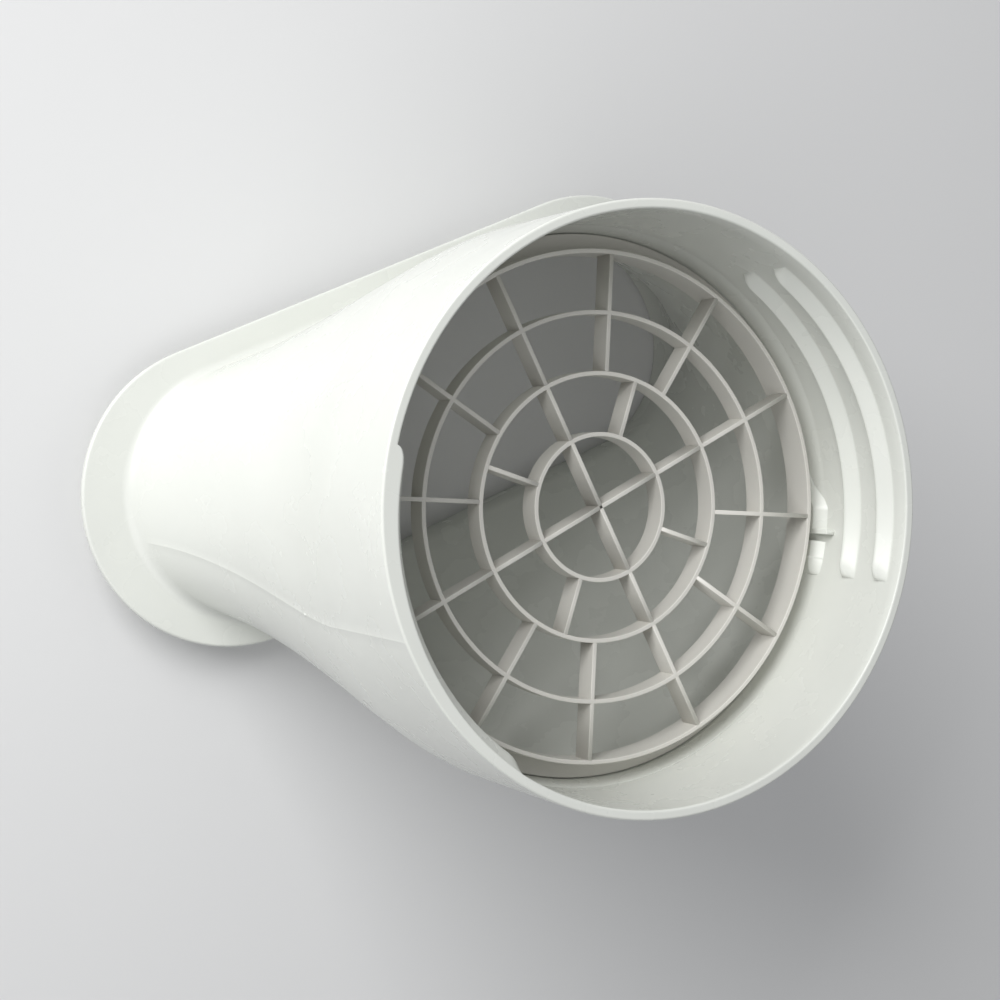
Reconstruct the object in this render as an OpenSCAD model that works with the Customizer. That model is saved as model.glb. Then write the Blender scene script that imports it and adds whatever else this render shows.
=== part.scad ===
// Hose nozzle for a window vent panel. A round hose socket runs down through an offset duct
// to a long oval outlet with a flange, and a guard grille sits on a ledge inside the socket.
// Millimetres. +Z is the socket's axis, pointing out of its mouth, z = 0 is the outlet's end,
// and X runs along the flange. The outlet lies towards -Y.

/* [Hose socket] */
// Bore of the hose socket
socket_d = 150.8; // [140:0.2:160]
// Wall of the round collar
collar_wall = 2.6; // [2:0.1:4]
// Bevel on both edges of the rim
rim_bevel = 0.6; // [0.2:0.1:1]
// Depth of the grille's front below the rim
grille_drop = 33.5; // [28:0.5:45]

/* [Thread ribs] */
// Distance that the hose thread runs along the axis in one turn
thread_pitch = 14.2; // [12:0.1:18]
// Depth of the first rib's crest below the rim, at the middle of the rib
thread_start = 2.9; // [2.5:0.1:5]
// Angle that each rib covers
rib_span = 73; // [40:1:90]
// Direction of the middle of the first rib
rib_angle = -2; // [-45:1:45]
// Height of a rib above the bore
rib_height = 2.8; // [1.5:0.1:3.4]
// Run of a rib's sloping side along the axis
rib_slope = 4; // [2:0.1:5]
// Flat on a rib's crest
rib_land = 0.8; // [0.4:0.1:1.5]
// Run of a rib's steep side along the axis
rib_under = 1.2; // [0.4:0.1:2]
// Length over which a rib's ends round off
rib_end = 5; // [2:0.5:10]

/* [Grille seat] */
// Step in from the bore to the recess that holds the grille's foot
seat_step = 1.4; // [0.6:0.1:2]
// Height of the sloping lead-in above the recess
seat_lead = 5.5; // [2:0.5:7]
// Width of the ledge under the grille's foot
ledge_w = 4.4; // [3:0.1:6]
// Thickness of the ledge
ledge_t = 2; // [1.5:0.1:4]
// Gap round the grille's foot
foot_gap = 0.3; // [0.2:0.05:0.6]

/* [Keepers] */
// Direction of the blunt end of the first keeper
keeper_angle = 141.4; // [120:0.2:150]
// Angle that a keeper covers
keeper_span = 24; // [18:1:30]
// Angle of the run-in ramp, within the keeper's span
keeper_ramp = 9; // [5:1:12]
// Height of a keeper at the wall
keeper_h = 8.2; // [6:0.1:10]
// Gap between a keeper and the grille's foot
keeper_gap = 0.25; // [0.2:0.05:0.5]
// Thickness of the stop bar across a keeper
stop_t = 1.4; // [1:0.1:2]
// Height of the stop bar above the keeper's underside
stop_h = 11; // [8:0.5:14]
// Width of the slot beside the stop bar
stop_slot = 2; // [1:0.1:3]
// Distance from the keeper's blunt end to the slot
stop_place = 10; // [7:0.5:14]

/* [Guard grille] */
// Number of rings, counting the outer ring that carries the foot
ring_count = 4; // [3:1:6]
// Radius of the innermost ring
first_ring_r = 19.5; // [14:0.5:24]
// Thickness of the rings and bars
bar_t = 1.2; // [0.8:0.1:2]
// Depth of the rings and bars
bar_depth = 7; // [4:0.5:8]
// Height of the outer ring, foot included
rim_ring_h = 10; // [8.5:0.5:14]
// Width of the foot outside the outer ring
foot_w = 4.8; // [3.6:0.1:6]
// Thickness of the foot
foot_t = 1.5; // [1:0.1:2.5]
// Number of bars between the second ring and the outer ring
outer_bars = 12; // [8:4:24]
// Number of bars between the first ring and the second ring
inner_bars = 8; // [4:4:16]
// Number of bars that reach the middle
cross_bars = 4; // [2:2:4]
// Turn of the grille's cross from the flange's long axis
grille_turn = 4.4; // [-45:0.2:45]

/* [Duct] */
// Height from the flange's face to the rim
duct_h = 123.4; // [100:0.2:160]
// Wall of the duct, measured level
duct_wall = 2.2; // [1.6:0.1:3]
// Distance from the socket's axis to the middle of the outlet
outlet_offset = 28.9; // [0:0.1:45]
// End slope of the wall on the outlet's side, as a share of its mean slope
near_slope = 0; // [0:0.05:2]
// End slope of the wall on the overhanging side, as a share of its mean slope
far_slope = 1; // [0:0.05:2]
// End slope of the walls at the outlet's ends, as a share of their mean slope
end_slope = 2.9; // [0:0.05:3]
// Fillet between the duct and the flange
base_fillet = 2.5; // [1:0.1:5]

/* [Outlet and flange] */
// Length of the outlet over its walls
outlet_l = 193; // [170:1:220]
// Width of the outlet over its walls
outlet_w = 74; // [56:0.5:90]
// Height of the locating spigot below the flange
spigot_h = 8.5; // [4:0.5:20]
// Thickness of the flange
flange_t = 2.5; // [1.5:0.1:5]
// Width of the flange beyond the outlet's ends
flange_end = 13.8; // [6:0.1:25]
// Width of the flange beyond the outlet's long sides
flange_side = 7.6; // [5:0.1:20]
// Distance from the middle of the outlet to the middle of the flange
flange_shift = 1.3; // [0:0.1:4]

/* [Hidden] */
$fn = 128;

// Steps round each half of an oval, up the duct, up the fillet and along a rib
arc_steps = 32;
duct_steps = 16;
fillet_steps = 4;
rib_steps = 18;
// Cuts run this far past a face, and joined shapes reach this far into each other
over = 1;
// Witness step where the moulded duct meets the collar and the spigot
witness = 0.15;

socket_r = socket_d / 2;
mouth_r = socket_r + collar_wall;
seat_r = socket_r - seat_step;
ledge_r = seat_r - ledge_w;
foot_r = seat_r - foot_gap;
outer_ring_r = foot_r - foot_w - bar_t / 2;
ring_step = (outer_ring_r - first_ring_r) / (ring_count - 1);
second_ring_r = first_ring_r + ring_step;

face_z = spigot_h + flange_t;
rim_z = face_z + duct_h;
grille_z = rim_z - grille_drop;
ledge_z = grille_z - rim_ring_h;
foot_z = ledge_z + foot_t;
collar_z = ledge_z - ledge_t;

rib_count = floor((grille_drop - thread_start) / (thread_pitch / 2)) + 1;
// Ribs are rooted this far inside the wall, and their ends start this far inside it
root = 0.8;
end_sink = 0.3;
root_slope = (rib_slope - rib_land / 2) * (rib_height + root) / rib_height;

keeper_z = foot_z + keeper_gap;
keeper_count = 2;
// The recess's upright wall ends a little above the keepers' undersides
seat_z = keeper_z + keeper_gap;
// Angle at the bore for each millimetre round it
deg_per_mm = 180 / (PI * socket_r);

// Share of the way from the collar to the outlet, leaving the collar upright
function ease(t, slope) = 3 * t * t - 2 * t * t * t + slope * (t * t * t - t * t);
function mix(a, b, t) = a + (b - a) * t;

// Oval of two half circles, as points that run anticlockwise at height z
function oval(half_l, half_w, y, z) = [
    for (side = [0, 1])
        for (i = [0 : arc_steps - 1])
            let (a = -90 + 180 * side + (i + 0.5) * 180 / arc_steps)
                [(half_l - half_w) * (1 - 2 * side) + half_w * cos(a), y + half_w * sin(a), z]
];

// Outline of the duct at height z, grown by some width
function duct_outline(z, grow) =
    let (
        t = min(1, max(0, (collar_z - z) / (collar_z - face_z))),
        start_r = mouth_r - witness,
        near = mix(-start_r, -outlet_offset - outlet_w / 2, ease(t, near_slope)),
        far = mix(start_r, -outlet_offset + outlet_w / 2, ease(t, far_slope)),
        half_l = mix(start_r, outlet_l / 2, ease(t, end_slope)),
        half_w = (far - near) / 2
    )
    oval(max(half_l, half_w) + grow, half_w + grow, (far + near) / 2, z);

// Height of a thread crest at an angle, on a left-handed thread
function crest_z(angle) = rim_z - thread_start - thread_pitch * (angle - rib_angle) / 360;

function at(r, angle, z) = [r * cos(angle), r * sin(angle), z];

// Radius of a rib's crest at some distance from its end, where it rises out of the wall
function end_share(d) = d >= rib_end ? 1 : sqrt(1 - pow(1 - max(0, d) / rib_end, 2));
function crest_r(d) = socket_r + end_sink - (rib_height + end_sink) * end_share(d);

// Solid through a list of outlines with the same number of points
module skin(outlines) {
    count = len(outlines[0]);
    last = len(outlines) - 1;
    sides = [
        for (k = [0 : last - 1])
            for (i = [0 : count - 1])
                let (j = (i + 1) % count, a = k * count, b = a + count)
                    each [[a + i, b + i, b + j], [a + i, b + j, a + j]]
    ];
    bottom = [for (i = [0 : count - 1]) i];
    top = [for (i = [count - 1 : -1 : 0]) last * count + i];
    polyhedron([for (outline = outlines) each outline], concat(sides, [bottom, top]));
}

module stadium(length, width, height) {
    half = (length - width) / 2;
    linear_extrude(height) {
        square([2 * half, width], center = true);
        translate([half, 0]) circle(d = width);
        translate([-half, 0]) circle(d = width);
    }
}

module duct_outside() {
    skin([
        duct_outline(face_z - flange_t / 2, base_fillet),
        for (i = [0 : fillet_steps - 1])
            let (a = 90 * i / fillet_steps)
                duct_outline(face_z + base_fillet * (1 - cos(a)), base_fillet * (1 - sin(a))),
        for (i = [0 : duct_steps])
            duct_outline(mix(face_z + base_fillet, collar_z, i / duct_steps), 0),
        duct_outline(collar_z + over, 0)
    ]);
}

module duct_inside() {
    skin([
        duct_outline(face_z - flange_t / 4, -duct_wall - witness),
        for (i = [0 : duct_steps])
            duct_outline(mix(face_z, collar_z, i / duct_steps), -duct_wall - witness * (1 - i / duct_steps))
    ]);
}

// Round space inside the collar, down through the ledge
module socket_inside() {
    rotate_extrude()
        polygon([
            [0, collar_z - over],
            [ledge_r, collar_z - over],
            [ledge_r, ledge_z],
            [seat_r, ledge_z],
            [seat_r, seat_z],
            [socket_r, seat_z + seat_lead],
            [socket_r, rim_z - rim_bevel],
            [socket_r + rim_bevel, rim_z],
            [socket_r + rim_bevel, rim_z + over],
            [0, rim_z + over]
        ]);
}

module collar_outside() {
    rotate_extrude()
        polygon([
            [0, collar_z],
            [mouth_r, collar_z],
            [mouth_r, rim_z - rim_bevel],
            [mouth_r - rim_bevel, rim_z],
            [0, rim_z]
        ]);
}

// One thread rib: a sloping side towards the mouth, a narrow crest and a steep side below
module thread_rib(middle) {
    first = middle - rib_span / 2;
    end_deg = rib_end * deg_per_mm;
    top_z = rim_z - rim_bevel - witness;
    skin([
        for (i = [0 : rib_steps])
            let (
                // Steps crowd together at the two ends, where the rib rounds off
                angle = first + rib_span * (1 - cos(180 * i / rib_steps)) / 2,
                from_end = min(angle - first, first + rib_span - angle) / deg_per_mm,
                r = crest_r(from_end),
                z = crest_z(angle)
            )
            [
                at(socket_r + root, angle, z - rib_land / 2 - rib_under),
                at(r, angle, z - rib_land / 2),
                at(r, angle, min(z + rib_land / 2, top_z)),
                at(socket_r + root, angle, min(z + rib_land / 2 + root_slope, top_z))
            ]
    ]);
}

// Part of a keeper between two angles measured from its blunt end
module keeper_piece(from, to) {
    full_angle = keeper_span - keeper_ramp;
    skin([
        for (i = [0 : rib_steps])
            let (
                angle = mix(from, to, i / rib_steps),
                ramp = min(1, (keeper_span - angle) / keeper_ramp),
                wall_h = mix(rib_land, keeper_h, angle > full_angle ? ramp : 1),
                r = crest_r(angle / deg_per_mm)
            )
            [
                at(socket_r + root, keeper_angle + angle, keeper_z),
                at(r, keeper_angle + angle, keeper_z),
                at(r, keeper_angle + angle, keeper_z + max(rib_land / 2, wall_h - rib_slope)),
                at(socket_r + root, keeper_angle + angle, keeper_z + wall_h)
            ]
    ]);
}

// Short rib over the grille's foot, with a run-in ramp, a stop bar and a slot beside it
module keeper() {
    slot_deg = stop_place * deg_per_mm;
    bar_deg = slot_deg + stop_slot * deg_per_mm;
    keeper_piece(0, slot_deg);
    // The long piece starts inside the stop bar
    keeper_piece(bar_deg + stop_t / 2 * deg_per_mm, keeper_span);
    rotate([0, 0, keeper_angle + bar_deg])
        translate([socket_r - rib_height, 0, keeper_z])
            cube([rib_height + root, stop_t, stop_h]);
}

module nozzle_body() {
    color([0.86, 0.87, 0.85]) {
        difference() {
            union() {
                collar_outside();
                duct_outside();
                translate([0, -outlet_offset - flange_shift, spigot_h])
                    stadium(outlet_l + 2 * flange_end, outlet_w + 2 * flange_side, flange_t);
                translate([0, -outlet_offset, 0])
                    stadium(outlet_l, outlet_w, spigot_h + flange_t / 4);
            }
            socket_inside();
            duct_inside();
            translate([0, -outlet_offset, -over])
                stadium(outlet_l - 2 * duct_wall, outlet_w - 2 * duct_wall, face_z + over - flange_t / 8);
        }
        for (i = [0 : rib_count - 1])
            thread_rib(rib_angle + 180 * i);
        for (i = [0 : keeper_count - 1])
            rotate([0, 0, i * 360 / keeper_count]) keeper();
    }
}

module ring(r, height) {
    difference() {
        cylinder(r = r + bar_t / 2, h = height);
        translate([0, 0, -over]) cylinder(r = r - bar_t / 2, h = height + 2 * over);
    }
}

// Straight bar from one radius to another, its top at z = 0
module bar(from_r, to_r) {
    translate([from_r, -bar_t / 2, -bar_depth]) cube([to_r - from_r, bar_t, bar_depth]);
}

module guard_grille() {
    color([0.83, 0.82, 0.79])
        translate([0, 0, grille_z])
            rotate([0, 0, grille_turn]) {
                translate([0, 0, -rim_ring_h]) {
                    ring(outer_ring_r, rim_ring_h);
                    difference() {
                        cylinder(r = foot_r, h = foot_t);
                        translate([0, 0, -over]) cylinder(r = outer_ring_r, h = foot_t + 2 * over);
                    }
                }
                for (k = [0 : ring_count - 2])
                    translate([0, 0, -bar_depth]) ring(first_ring_r + k * ring_step, bar_depth);
                for (i = [0 : outer_bars - 1])
                    rotate([0, 0, i * 360 / outer_bars]) bar(second_ring_r, outer_ring_r);
                for (i = [0 : inner_bars - 1])
                    rotate([0, 0, i * 360 / inner_bars]) bar(first_ring_r, second_ring_r);
                for (i = [0 : cross_bars - 1])
                    rotate([0, 0, i * 360 / cross_bars]) bar(0, first_ring_r);
            }
}

nozzle_body();
guard_grille();
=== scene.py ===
"""Looks of a hose nozzle for a window vent panel: the moulded body and its guard grille.

Sizes are in millimetres, in the part's own frame: +Z is the socket's axis, pointing out of its
mouth, z = 0 is the outlet's end, and X runs along the flange. Meshes are made in metres.
"""
import math
import bmesh
import bpy
import numpy as np
from mathutils import Matrix, Vector


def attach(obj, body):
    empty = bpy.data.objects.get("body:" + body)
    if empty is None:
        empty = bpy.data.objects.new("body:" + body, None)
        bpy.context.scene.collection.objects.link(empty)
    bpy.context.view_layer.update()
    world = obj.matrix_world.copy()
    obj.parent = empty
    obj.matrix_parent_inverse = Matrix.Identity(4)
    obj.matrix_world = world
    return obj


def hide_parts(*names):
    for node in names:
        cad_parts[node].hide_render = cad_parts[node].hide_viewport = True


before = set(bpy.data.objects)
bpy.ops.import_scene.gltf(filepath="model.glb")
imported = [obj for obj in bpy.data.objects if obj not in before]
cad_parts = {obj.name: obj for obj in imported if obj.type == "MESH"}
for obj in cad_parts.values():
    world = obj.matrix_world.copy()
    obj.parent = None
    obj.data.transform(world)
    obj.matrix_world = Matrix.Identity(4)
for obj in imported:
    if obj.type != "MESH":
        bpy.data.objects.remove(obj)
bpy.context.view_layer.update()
MM = 0.001

# Hose socket
SOCKET_R = 75.4
MOUTH_R = 78.0
RIM_Z = 134.4
RIM_ROUND = 0.6

# Thread ribs, and the corner rounding of their sections
THREAD_PITCH = 14.2
THREAD_START = 2.9
RIB_TURNS = 5
RIB_SPAN = 73.0
RIB_ANGLE = -2.0
RIB_HEIGHT = 2.8
RIB_SLOPE = 3.6
RIB_LAND = 0.8
RIB_UNDER = 0.93
RIB_END = 5.0
RIB_SOFTEN = 0.28
# The first rib starts this much later, where it leaves the rim
FIRST_RIB_LATE = 3.4

# Grille seat
SEAT_R = 74.0
LEDGE_R = 69.6
COLLAR_Z = 88.9
LEDGE_Z = 90.9
SEAT_Z = 92.9
CONE_Z = 98.4

# Keepers
KEEPER_ANGLE = 141.4
KEEPER_COUNT = 2
KEEPER_SPAN = 24.0
KEEPER_RAMP = 9.0
KEEPER_H = 8.2
KEEPER_Z = 92.65
KEEPER_SLOPE = 4.0
STOP_T = 1.4
STOP_H = 11.0
STOP_SLOT = 2.0
STOP_PLACE = 10.0
ROOT = 0.8

# Guard grille
GRILLE_Z = 100.9
GRILLE_TURN = 4.4
FIRST_RING_R = 19.5
OUTER_RING_R = 68.3
RING_COUNT = 4
OUTER_BARS = 12
INNER_BARS = 8
CROSS_BARS = 4
BAR_T = 1.2
BAR_DEPTH = 7.0
RIM_RING_H = 10.0
FOOT_R = 73.68
FOOT_T = 1.5
GRILLE_EDGE = 0.24

# Duct, outlet and flange
FACE_Z = 11.0
DUCT_WALL = 2.2
OUTLET_OFFSET = 28.9
NEAR_SLOPE = 0.0
FAR_SLOPE = 1.0
END_SLOPE = 2.9
BASE_FILLET = 2.5
OUTLET_HALF_L = 96.5
OUTLET_HALF_W = 37.0
SPIGOT_H = 8.5
SPIGOT_ROUND = 0.5
FLANGE_HALF_L = 110.3
FLANGE_HALF_W = 44.6
FLANGE_Y = -30.2
FLANGE_ROUND = 0.7
LEDGE_ROUND = 0.4

# Mould marks: the parting line and a small nib on it
PARTING_H = 0.07
PARTING_W = 0.35
NIB_Z = 71.5
NIB_R = 0.5

# Distance round the bore for one degree, and a narrow strip that keeps flat faces flat in shading
MM_PER_DEG = math.pi * SOCKET_R / 180
STRIP = 0.25


def mix(a, b, t):
    return a + (b - a) * t


def ease(t, slope):
    """Share of the way from the collar to the outlet, leaving the collar upright."""
    return 3 * t * t - 2 * t ** 3 + slope * (t ** 3 - t * t)


def wrap(angle):
    return np.mod(angle + 180, 360) - 180


def arc(start, stop, steps=5):
    """Cosine and sine pairs along an arc in degrees."""
    return [(math.cos(a), math.sin(a)) for a in np.radians(np.linspace(start, stop, steps + 1))]


def oval(angles, half_l, half_w, y, z):
    """Points at equal shares of an oval's length, measured from its end at +X, at height z."""
    straight = half_l - half_w
    bend = half_w * math.pi / 2
    quarter = np.mod(angles, 360) / 90
    folded = 1 - np.abs(np.mod(quarter, 2) - 1)
    run = folded * (straight + bend)
    a = np.minimum(run, bend) / half_w
    x = straight - np.maximum(run - bend, 0) + half_w * np.cos(a)
    side_x = np.where((quarter > 1) & (quarter < 3), -1, 1)
    side_y = np.where(quarter > 2, -1, 1)
    return np.stack([side_x * x, y + side_y * half_w * np.sin(a), np.full(len(angles), z)], axis=1)


def circle(angles, r, z):
    """A circle whose radius and height may change with the angle."""
    a = np.radians(angles)
    return np.stack([r * np.cos(a), r * np.sin(a), z + np.zeros(len(angles))], axis=1)


def duct(angles, z, grow):
    """The duct's outline at height z, grown by some width."""
    t = min(1.0, max(0.0, (COLLAR_Z - z) / (COLLAR_Z - FACE_Z)))
    near = mix(-MOUTH_R, -OUTLET_OFFSET - OUTLET_HALF_W, ease(t, NEAR_SLOPE))
    far = mix(MOUTH_R, -OUTLET_OFFSET + OUTLET_HALF_W, ease(t, FAR_SLOPE))
    half_l = mix(MOUTH_R, OUTLET_HALF_L, ease(t, END_SLOPE))
    half_w = (far - near) / 2
    return oval(angles, max(half_l, half_w) + grow, half_w + grow, (far + near) / 2, z)


def crest_z(angles, turn):
    """Height of the thread's crest near one half turn's middle, on a left-handed thread."""
    off = wrap(angles - RIB_ANGLE - 180 * turn)
    return RIM_Z - THREAD_START - THREAD_PITCH * (turn / 2 + off / 360)


def end_share(d):
    """Share of a rib's full height at some distance from its end."""
    return np.sqrt(1 - (1 - np.clip(d / RIB_END, 0, 1)) ** 2)


def rib_section(u):
    """Share of a rib's height at a distance above its crest line, with soft corners."""
    spread = u + np.linspace(-RIB_SOFTEN, RIB_SOFTEN, 7)[:, None]
    under = (spread + RIB_LAND / 2 + RIB_UNDER) / RIB_UNDER
    slope = (RIB_LAND / 2 + RIB_SLOPE - spread) / RIB_SLOPE
    return np.clip(np.minimum(under, slope), 0, 1).mean(axis=0)


def thread_height(angles, z):
    """How far the thread ribs stand out of the bore at each angle and height."""
    height = np.zeros(len(angles))
    for turn in range(RIB_TURNS):
        off = wrap(angles - RIB_ANGLE - 180 * turn)
        first = -RIB_SPAN / 2 + (FIRST_RIB_LATE if turn == 0 else 0)
        from_end = np.minimum(off - first, RIB_SPAN / 2 - off) * MM_PER_DEG
        rise = RIB_HEIGHT * end_share(np.maximum(from_end, 0))
        height = np.maximum(height, rise * rib_section(z - crest_z(angles, turn)))
    return height


def column_angles():
    """Angles of the body's columns: even steps, closer at the ribs' ends and the parting line."""
    angles = list(np.arange(0, 360, 2.0))
    ends = []
    for middle in (RIB_ANGLE, RIB_ANGLE + 180):
        ends += [(middle - RIB_SPAN / 2, 1), (middle + RIB_SPAN / 2, -1)]
    ends.append((RIB_ANGLE - RIB_SPAN / 2 + FIRST_RIB_LATE, 1))
    for end, inward in ends:
        angles += [end - inward * 0.4, end - inward * 0.05]
        angles += [end + inward * RIB_END / MM_PER_DEG * (1 - c) for c, s in arc(0, 90, 10)]
    for tip in (0, 180):
        angles += [tip + k * PARTING_W / MM_PER_DEG for k in (-1, -0.5, 0, 0.5, 1)]
    kept = []
    for a in sorted(np.mod(angles, 360)):
        if not kept or a - kept[-1] > 0.03:
            kept.append(a)
    return np.array(kept)


def wall_heights(angles):
    """Heights of the rows on the socket's wall, which follow the thread ribs from side to side."""
    below = [-2.4, -1.9, -1.6, -1.42, -1.3, -1.1, -0.9, -0.7, -0.58, -0.46, -0.3, -0.1]
    above = [0.1, 0.24, 0.4, 0.56, 0.8, 1.6, 2.4, 3.2, 3.7, 3.88, 4.05, 4.25, 4.6, 5.2]
    steps = below + above
    # Share of the way round from the first rib's side to the other
    t = np.clip((np.abs(wrap(angles - RIB_ANGLE)) - 40) / 100, 0, 1)
    share = t * t * (3 - 2 * t)
    rows = []
    for band in (2, 1, 0):
        far = crest_z(angles, 2 * band + 1)
        squeeze = 1
        if band == 2:
            # No rib lies that low on the far side, so these rows crowd together above the cone
            far = np.full(len(angles), CONE_Z + 0.9)
            squeeze = mix(1, 0.16, share)
        crest = mix(crest_z(angles, 2 * band), far, share)
        rows += [crest + u * squeeze for u in steps]
    # The rows above the top rib are pressed together under the rim
    count = len(rows)
    return [np.minimum(z, RIM_Z - RIM_ROUND - 0.04 * (count - 1 - k)) for k, z in enumerate(rows)]


def with_parting(angles, ring):
    """A ring with its points on the mould's parting line lifted, at the outline's two ends."""
    off = np.minimum(np.abs(wrap(angles)), np.abs(wrap(angles - 180))) * MM_PER_DEG
    lift = PARTING_H * np.clip(1 - off / PARTING_W, 0, 1)
    out = ring.copy()
    out[:, 0] += lift * np.sign(ring[:, 0])
    return out


def collar_rings(angles, inner):
    """The rim's flat top and outer round, and the collar's outside."""
    r = RIM_ROUND
    rings = [circle(angles, inner + r + STRIP / 2, RIM_Z), circle(angles, MOUTH_R - r - STRIP / 2, RIM_Z)]
    rings += [circle(angles, MOUTH_R - r + r * c, RIM_Z - r + r * s) for c, s in arc(90, 0)]
    for z in np.linspace(RIM_Z - r - STRIP, COLLAR_Z, 14):
        rings.append(with_parting(angles, circle(angles, MOUTH_R, z)))
    return rings


def duct_outside_rings(angles):
    """The duct's outside and the fillet at its foot."""
    top = FACE_Z + BASE_FILLET
    rings = [with_parting(angles, duct(angles, z, 0)) for z in np.linspace(COLLAR_Z, top, 46)[1:]]
    rings += [duct(angles, top - BASE_FILLET * s, BASE_FILLET * (1 - c)) for c, s in arc(0, 90, 8)[1:]]
    rings.append(duct(angles, FACE_Z, BASE_FILLET + STRIP))
    return rings


def flange_rings(angles):
    """The flange's top, rounded edge and underside."""
    r = FLANGE_ROUND
    path = [(r + STRIP, FACE_Z)]
    path += [(r - r * c, FACE_Z - r + r * s) for c, s in arc(90, 0)]
    path += [(r - r * c, SPIGOT_H + r + r * s) for c, s in arc(0, -90)]
    path += [(r + STRIP, SPIGOT_H)]
    return [oval(angles, FLANGE_HALF_L - inset, FLANGE_HALF_W - inset, FLANGE_Y, z) for inset, z in path]


def spigot_rings(angles):
    """The locating spigot from its root fillet round its end, and up inside it."""
    r = SPIGOT_ROUND
    path = [(-r - STRIP, SPIGOT_H)]
    path += [(-r + r * c, SPIGOT_H - r + r * s) for c, s in arc(90, 0)]
    path += [(0, SPIGOT_H - r - STRIP), (0, r + STRIP)]
    path += [(r - r * c, r + r * s) for c, s in arc(0, -90)]
    path += [(DUCT_WALL - r + r * c, r + r * s) for c, s in arc(-90, 0)]
    path += [(DUCT_WALL, r + STRIP), (DUCT_WALL, FACE_Z)]
    return [oval(angles, OUTLET_HALF_L - inset, OUTLET_HALF_W - inset, -OUTLET_OFFSET, z) for inset, z in path]


def duct_inside_rings(angles):
    """The duct's inside, and the ledge under the grille's foot."""
    r = LEDGE_ROUND
    corner = MOUTH_R - DUCT_WALL - r
    rings = [duct(angles, z, -DUCT_WALL) for z in np.linspace(FACE_Z, COLLAR_Z - r - STRIP, 42)[1:]]
    path = [(corner + r * c, COLLAR_Z - r + r * s) for c, s in arc(0, 90)]
    path += [(corner - STRIP, COLLAR_Z), (LEDGE_R + r + STRIP, COLLAR_Z)]
    path += [(LEDGE_R + r - r * c, COLLAR_Z + r + r * s) for c, s in arc(-90, 0)]
    path += [(LEDGE_R + r - r * c, LEDGE_Z - r + r * s) for c, s in arc(0, 90)]
    path += [(LEDGE_R + r + STRIP, LEDGE_Z), (SEAT_R - 0.3, LEDGE_Z), (SEAT_R, LEDGE_Z + 0.2)]
    path += [(SEAT_R, SEAT_Z - 0.3), (SEAT_R + 0.02, SEAT_Z), (SEAT_R + 0.09, SEAT_Z + 0.4)]
    path += [(SOCKET_R - 0.09, CONE_Z - 0.4), (SOCKET_R - 0.02, CONE_Z)]
    return rings + [circle(angles, radius, z) for radius, z in path]


def body_rings(angles):
    """Outlines that follow each other round the body's wall, down outside and up inside."""
    wall = [(z, thread_height(angles, z)) for z in wall_heights(angles)]
    inner = SOCKET_R - wall[-1][1]
    r = RIM_ROUND
    rings = collar_rings(angles, inner) + duct_outside_rings(angles) + flange_rings(angles)
    rings += spigot_rings(angles) + duct_inside_rings(angles)
    rings += [circle(angles, SOCKET_R - height, z) for z, height in wall]
    rings += [circle(angles, inner + r - r * c, RIM_Z - r + r * s) for c, s in arc(0, 90)[1:]]
    return rings


def tube(bm, rings):
    """A closed tube of quads through rings with the same number of points."""
    rows = [[bm.verts.new(Vector(p) * MM) for p in ring] for ring in rings]
    for a, b in zip(rows, rows[1:] + rows[:1]):
        for i in range(len(a)):
            j = (i + 1) % len(a)
            bm.faces.new((a[i], a[j], b[j], b[i]))


def loft(bm, sections):
    """A closed solid through sections with the same number of points, capped at both ends."""
    rows = [[bm.verts.new(Vector(p) * MM) for p in section] for section in sections]
    for a, b in zip(rows, rows[1:]):
        for i in range(len(a)):
            j = (i + 1) % len(a)
            bm.faces.new((a[i], a[j], b[j], b[i]))
    bm.faces.new(rows[0])
    bm.faces.new(rows[-1])


def rounded(corners, radius, steps=3):
    """A polygon with small arcs for corners, and strips beside them that keep its sides flat."""
    out = []
    for i, corner in enumerate(corners):
        p = Vector(corner)
        back = Vector(corners[i - 1]) - p
        on = Vector(corners[(i + 1) % len(corners)]) - p
        cut = min(radius / math.tan(back.angle(on) / 2), 0.4 * back.length, 0.4 * on.length)
        start = p + back.normalized() * cut
        stop = p + on.normalized() * cut
        out.append(p + back.normalized() * cut * 1.2)
        for k in range(steps + 1):
            t = k / steps
            out.append(start * (1 - t) ** 2 + p * 2 * t * (1 - t) + stop * t ** 2)
        out.append(p + on.normalized() * cut * 1.2)
    return out


def polar(r, angle, z):
    a = math.radians(angle)
    return (r * math.cos(a), r * math.sin(a), z)


def keeper_sections(first, turn, start, stop):
    """Sections of part of a keeper, between two angles measured from its blunt end."""
    full = KEEPER_SPAN - KEEPER_RAMP
    angles = sorted(set(np.linspace(start, stop, 25)) | set(np.clip(
        [start + RIB_END / MM_PER_DEG * (1 - c) for c, s in arc(0, 90, 8)], start, stop)))
    sections = []
    for angle in angles:
        ramp = min(1.0, (KEEPER_SPAN - angle) / KEEPER_RAMP)
        wall_h = mix(RIB_LAND, KEEPER_H, ramp if angle > full else 1.0)
        rise = RIB_HEIGHT * float(end_share(angle / MM_PER_DEG * MM_PER_DEG ** 2))
        crest = SOCKET_R + 0.3 - (rise + 0.3 * min(1.0, rise))
        high = KEEPER_Z + max(RIB_LAND / 2, wall_h - KEEPER_SLOPE)
        outline = [(SOCKET_R + ROOT, KEEPER_Z), (crest, KEEPER_Z), (crest, high), (SOCKET_R + ROOT, KEEPER_Z + wall_h)]
        sections.append([polar(p.x, first + angle + turn, p.y) for p in rounded(outline, 0.3)])
    return sections


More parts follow.
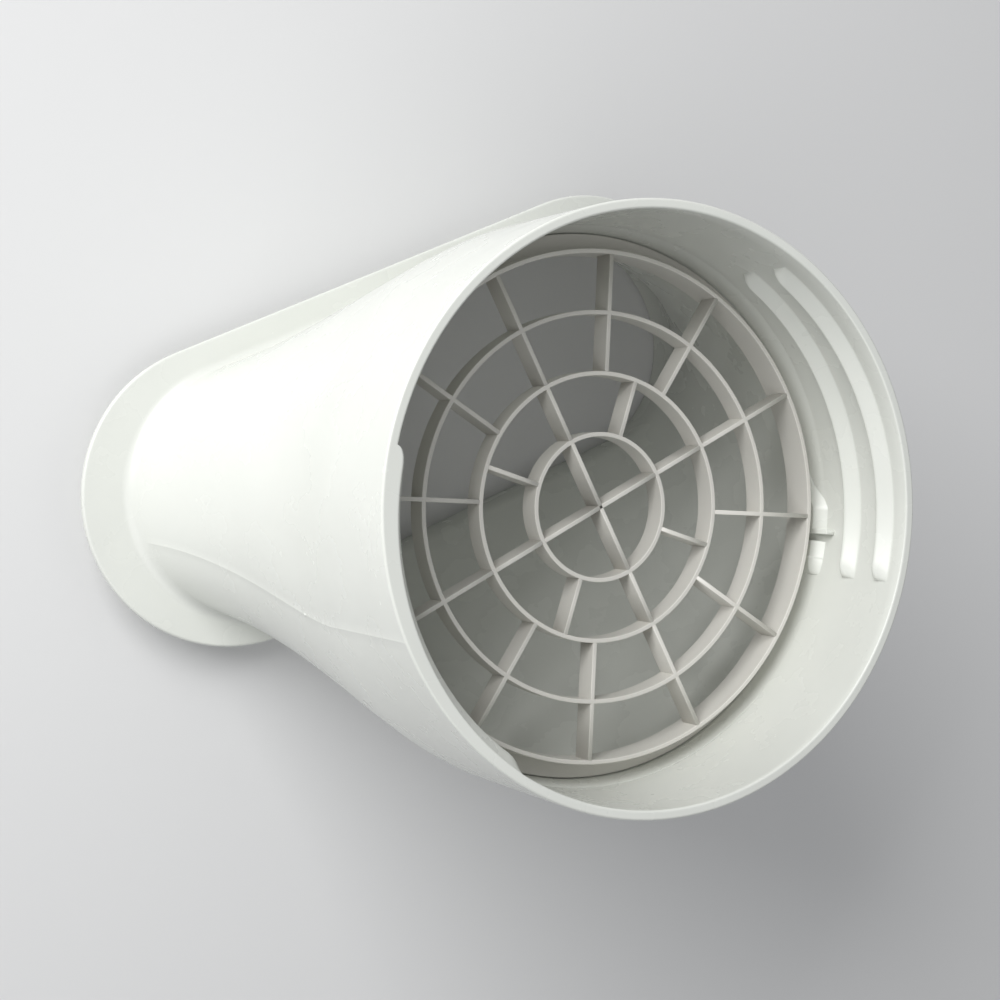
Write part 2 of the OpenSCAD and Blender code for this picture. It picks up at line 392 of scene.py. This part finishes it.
def keeper(bm, turn):
    """A short rib over the grille's foot, with a run-in ramp, a stop bar and a slot beside it."""
    slot = STOP_PLACE / MM_PER_DEG
    bar = slot + STOP_SLOT / MM_PER_DEG
    loft(bm, keeper_sections(KEEPER_ANGLE, turn, 0, slot))
    loft(bm, keeper_sections(KEEPER_ANGLE, turn, bar + STOP_T / 2 / MM_PER_DEG, KEEPER_SPAN))
    spin = Matrix.Rotation(math.radians(KEEPER_ANGLE + turn + bar), 4, "Z")
    radial = [(SOCKET_R - RIB_HEIGHT, 0), (SOCKET_R - RIB_HEIGHT, STOP_T), (SOCKET_R + ROOT, STOP_T), (SOCKET_R + ROOT, 0)]
    outline = rounded(radial, 0.25)
    heights = [(0.25, KEEPER_Z), (0, KEEPER_Z + 0.25), (0, KEEPER_Z + STOP_H - 0.25), (0.25, KEEPER_Z + STOP_H)]
    middle = Vector((SOCKET_R - RIB_HEIGHT / 2 + ROOT / 2, STOP_T / 2))
    sections = []
    for inset, z in heights:
        shrink = [middle + (p - middle) * (1 - inset / 2) for p in outline]
        sections.append([spin @ Vector((p.x, p.y, z)) for p in shrink])
    loft(bm, sections)


def nib(bm):
    """The small nib that the mould left on the parting line."""
    angles = np.array([0.0])
    place = Vector(duct(angles, NIB_Z, 0)[0]) * MM
    made = bmesh.ops.create_uvsphere(bm, u_segments=16, v_segments=8, radius=NIB_R * MM)
    for v in made["verts"]:
        v.co.x *= 0.6
        v.co += place


def add_object(name, build):
    """An object of the solids that build makes, faces turned outwards and shaded smooth."""
    bm = bmesh.new()
    build(bm)
    bmesh.ops.recalc_face_normals(bm, faces=bm.faces)
    mesh = bpy.data.meshes.new(name)
    bm.to_mesh(mesh)
    bm.free()
    mesh.shade_smooth()
    obj = bpy.data.objects.new(name, mesh)
    bpy.context.scene.collection.objects.link(obj)
    return obj


def build_body(bm):
    tube(bm, body_rings(column_angles()))
    for k in range(KEEPER_COUNT):
        keeper(bm, k * 360 / KEEPER_COUNT)
    nib(bm)


def ring(bm, profile, steps=180):
    """A profile of (radius, height) points turned about the Z axis."""
    tube(bm, [[polar(p[0], 360 * k / steps, p[1]) for p in profile] for k in range(steps)])


def bar(bm, angle, start, stop):
    """A straight grille bar along a radius, with rounded edges."""
    half = BAR_T / 2
    outline = [(-half, -BAR_DEPTH), (half, -BAR_DEPTH), (half, 0), (-half, 0)]
    spin = Matrix.Rotation(math.radians(angle), 4, "Z")
    section = rounded(outline, GRILLE_EDGE)
    loft(bm, [[spin @ Vector((r, p.x, p.y - 0.02)) for p in section] for r in (start, stop)])


def build_grille(bm):
    step = (OUTER_RING_R - FIRST_RING_R) / (RING_COUNT - 1)
    half = BAR_T / 2
    for k in range(RING_COUNT - 1):
        r = FIRST_RING_R + k * step
        outline = [(r - half, -BAR_DEPTH), (r + half, -BAR_DEPTH), (r + half, 0), (r - half, 0)]
        ring(bm, rounded(outline, GRILLE_EDGE))
    r = OUTER_RING_R
    foot = [(r - half, -RIM_RING_H), (FOOT_R, -RIM_RING_H), (FOOT_R, FOOT_T - RIM_RING_H)]
    foot += [(r + half, FOOT_T - RIM_RING_H), (r + half, 0), (r - half, 0)]
    ring(bm, rounded(foot, GRILLE_EDGE), 240)
    for count, start, stop in ((OUTER_BARS, FIRST_RING_R + step, r), (INNER_BARS, FIRST_RING_R, FIRST_RING_R + step),
                               (CROSS_BARS, 0, FIRST_RING_R)):
        for k in range(count):
            bar(bm, 360 * k / count, start, stop)
    place = Matrix.Translation((0, 0, GRILLE_Z * MM)) @ Matrix.Rotation(math.radians(GRILLE_TURN), 4, "Z")
    bmesh.ops.transform(bm, matrix=place, verts=bm.verts)


def plastic(name, colour, roughness):
    """Semi-gloss moulded plastic: slight cloudiness in colour and gloss, and a faint waviness."""
    material = bpy.data.materials.new(name)
    material.use_nodes = True
    nodes, links = material.node_tree.nodes, material.node_tree.links
    shader = nodes["Principled BSDF"]
    shader.inputs["IOR"].default_value = 1.5
    place = nodes.new("ShaderNodeTexCoord").outputs["Object"]

    def noise(scale, detail):
        node = nodes.new("ShaderNodeTexNoise")
        node.inputs["Scale"].default_value = scale
        node.inputs["Detail"].default_value = detail
        links.new(place, node.inputs["Vector"])
        return node.outputs["Fac"]

    def spread(value, low, high):
        node = nodes.new("ShaderNodeMapRange")
        node.inputs["From Min"].default_value = 0.3
        node.inputs["From Max"].default_value = 0.7
        node.inputs["To Min"].default_value = low
        node.inputs["To Max"].default_value = high
        links.new(value, node.inputs["Value"])
        return node.outputs["Result"]

    blend = nodes.new("ShaderNodeMix")
    blend.data_type = "RGBA"
    blend.inputs["A"].default_value = (*[c * 0.97 for c in colour], 1)
    blend.inputs["B"].default_value = (*[min(1, c * 1.02) for c in colour], 1)
    links.new(spread(noise(28, 3), 0, 1), blend.inputs["Factor"])
    links.new(blend.outputs["Result"], shader.inputs["Base Color"])
    links.new(spread(noise(60, 4), roughness - 0.03, roughness + 0.05), shader.inputs["Roughness"])

    def bump(value, strength, distance, under=None):
        node = nodes.new("ShaderNodeBump")
        node.inputs["Strength"].default_value = strength
        node.inputs["Distance"].default_value = distance * MM
        links.new(value, node.inputs["Height"])
        if under:
            links.new(under, node.inputs["Normal"])
        return node.outputs["Normal"]

    waves = bump(noise(35, 1), 0.5, 0.25)
    links.new(bump(noise(900, 2), 0.25, 0.02, waves), shader.inputs["Normal"])
    return material


body = add_object("nozzle_shell", build_body)
body.data.materials.append(plastic("body_plastic", (0.73, 0.745, 0.70), 0.26))
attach(body, "root")
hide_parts("nozzle_body")

grille = add_object("grille_moulding", build_grille)
grille.data.materials.append(plastic("grille_plastic", (0.66, 0.645, 0.60), 0.32))
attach(grille, "root")
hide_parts("guard_grille")


def simple_material(name, colour, roughness):
    material = bpy.data.materials.new(name)
    material.use_nodes = True
    shader = material.node_tree.nodes["Principled BSDF"]
    shader.inputs["Base Color"].default_value = (*colour, 1)
    shader.inputs["Roughness"].default_value = roughness
    return material


def build_floor(bm):
    half = 4.0
    corners = [bm.verts.new((x * half, y * half, -0.0002)) for x, y in ((-1, -1), (1, -1), (1, 1), (-1, 1))]
    bm.faces.new(corners)


floor = add_object("floor", build_floor)
floor.data.materials.append(simple_material("floor_paper", (0.72, 0.72, 0.72), 0.7))

# Camera, placed by the photograph's view of the rim, the grille and the flange
CAMERA_PLACE = Vector((220.78, -106.10, 523.48)) * MM
CAMERA_TARGET = Vector((26.69, -13.58, 100.0)) * MM
CAMERA_ROLL = 92.393
FOCAL_SHARE = 1.8252

camera_data = bpy.data.cameras.new("camera")
camera_data.sensor_fit = "HORIZONTAL"
camera_data.sensor_width = 36
camera_data.lens = 36 * FOCAL_SHARE
camera_data.clip_start = 0.01
camera = bpy.data.objects.new("camera", camera_data)
bpy.context.scene.collection.objects.link(camera)
aim = (CAMERA_TARGET - CAMERA_PLACE).to_track_quat("-Z", "Y").to_matrix().to_4x4()
camera.matrix_world = Matrix.Translation(CAMERA_PLACE) @ aim @ Matrix.Rotation(math.radians(CAMERA_ROLL), 4, "Z")
bpy.context.scene.camera = camera


def softbox(name, azimuth, elevation, distance, size, power, colour=(1, 1, 1)):
    """A square lamp that faces the part from some direction."""
    data = bpy.data.lights.new(name, "AREA")
    data.shape = "RECTANGLE"
    data.size, data.size_y = size
    data.energy = power
    data.color = colour
    lamp = bpy.data.objects.new(name, data)
    bpy.context.scene.collection.objects.link(lamp)
    a, e = math.radians(azimuth), math.radians(elevation)
    aim_at = Vector((0, -0.015, 0.07))
    place = aim_at + distance * Vector((math.cos(e) * math.cos(a), math.cos(e) * math.sin(a), math.sin(e)))
    lamp.matrix_world = Matrix.Translation(place) @ (aim_at - place).to_track_quat("-Z", "Y").to_matrix().to_4x4()
    return lamp


softbox("key", -62, 32, 1.1, (0.9, 0.7), 13)
softbox("fill", 20, 55, 1.4, (1.0, 1.0), 4)

world = bpy.data.worlds.new("studio")
world.use_nodes = True
world.node_tree.nodes["Background"].inputs["Color"].default_value = (0.95, 0.97, 1.0, 1)
world.node_tree.nodes["Background"].inputs["Strength"].default_value = 0.3
bpy.context.scene.world = world

bpy.context.scene.view_settings.view_transform = "Standard"

bpy.context.view_layer.update()
